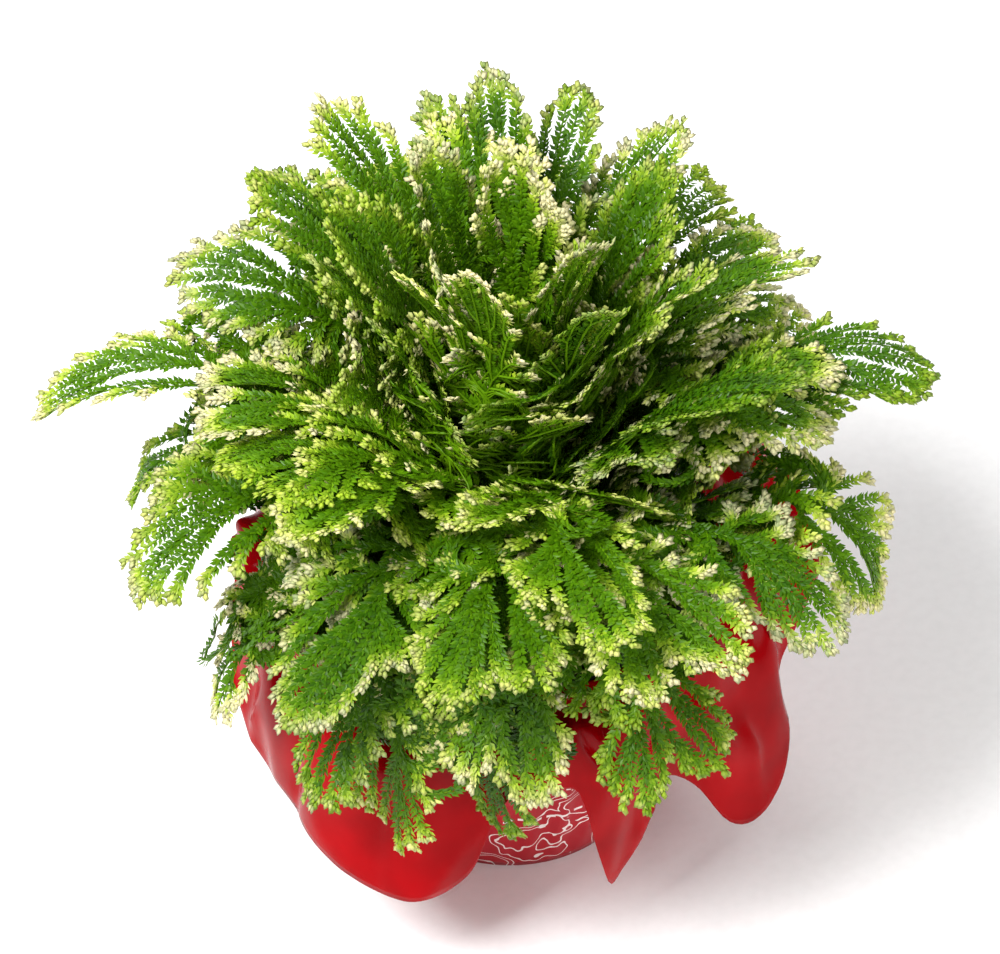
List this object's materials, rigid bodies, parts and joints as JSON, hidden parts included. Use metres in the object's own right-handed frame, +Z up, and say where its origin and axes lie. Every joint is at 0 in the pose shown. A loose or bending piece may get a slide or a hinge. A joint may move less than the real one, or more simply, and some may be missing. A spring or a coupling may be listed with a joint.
{
  "type": "potted plant",
  "caption": "Dome of branching feathery fronds growing from soil in a tapered round pot, which stands in a film cover with a wavy flared skirt.",
  "frame": {"origin": "middle of the flat underside of the cover, where the pot stands", "axes": "+Z up, -Y the side with the trailing fronds, +X to that side's right"},
  "size_m": [0.2351, 0.2106, 0.223],
  "materials": {
    "frond": "living scale-leaved foliage, satin, mid green with cream tips",
    "aerial_root": "smooth tan root skin, satin",
    "soil": "damp peat potting mix with perlite, matte",
    "pot": "thermoformed polypropylene, matt",
    "cover_film": "printed polypropylene film, glossy"
  },
  "bodies": {
    "root": {"aerial_root_1": "aerial_root", "aerial_root_2": "aerial_root", "aerial_root_3": "aerial_root", "aerial_root_4": "aerial_root", "cover_cup": "cover_film", "cover_skirt": "cover_film", "frond_01": "frond", "frond_02": "frond", "frond_03": "frond", "frond_04": "frond", "frond_05": "frond", "frond_06": "frond", "frond_07": "frond", "frond_08": "frond", "frond_09": "frond", "frond_10": "frond", "frond_11": "frond", "frond_12": "frond", "frond_13": "frond", "frond_14": "frond", "frond_15": "frond", "frond_16": "frond", "frond_17": "frond", "frond_18": "frond", "frond_19": "frond", "frond_20": "frond", "frond_21": "frond", "frond_22": "frond", "frond_23": "frond", "frond_24": "frond", "frond_25": "frond", "frond_26": "frond", "frond_27": "frond", "frond_28": "frond", "frond_29": "frond", "frond_30": "frond", "frond_31": "frond", "frond_32": "frond", "frond_33": "frond", "frond_34": "frond", "frond_35": "frond", "frond_36": "frond", "frond_37": "frond", "frond_38": "frond", "frond_39": "frond", "frond_40": "frond", "frond_41": "frond", "frond_42": "frond", "frond_43": "frond", "frond_44": "frond", "frond_45": "frond", "frond_46": "frond", "frond_47": "frond", "frond_48": "frond", "frond_49": "frond", "frond_50": "frond", "frond_51": "frond", "frond_52": "frond", "nursery_pot": "pot", "potting_soil": "soil"}
  },
  "joints": []
}
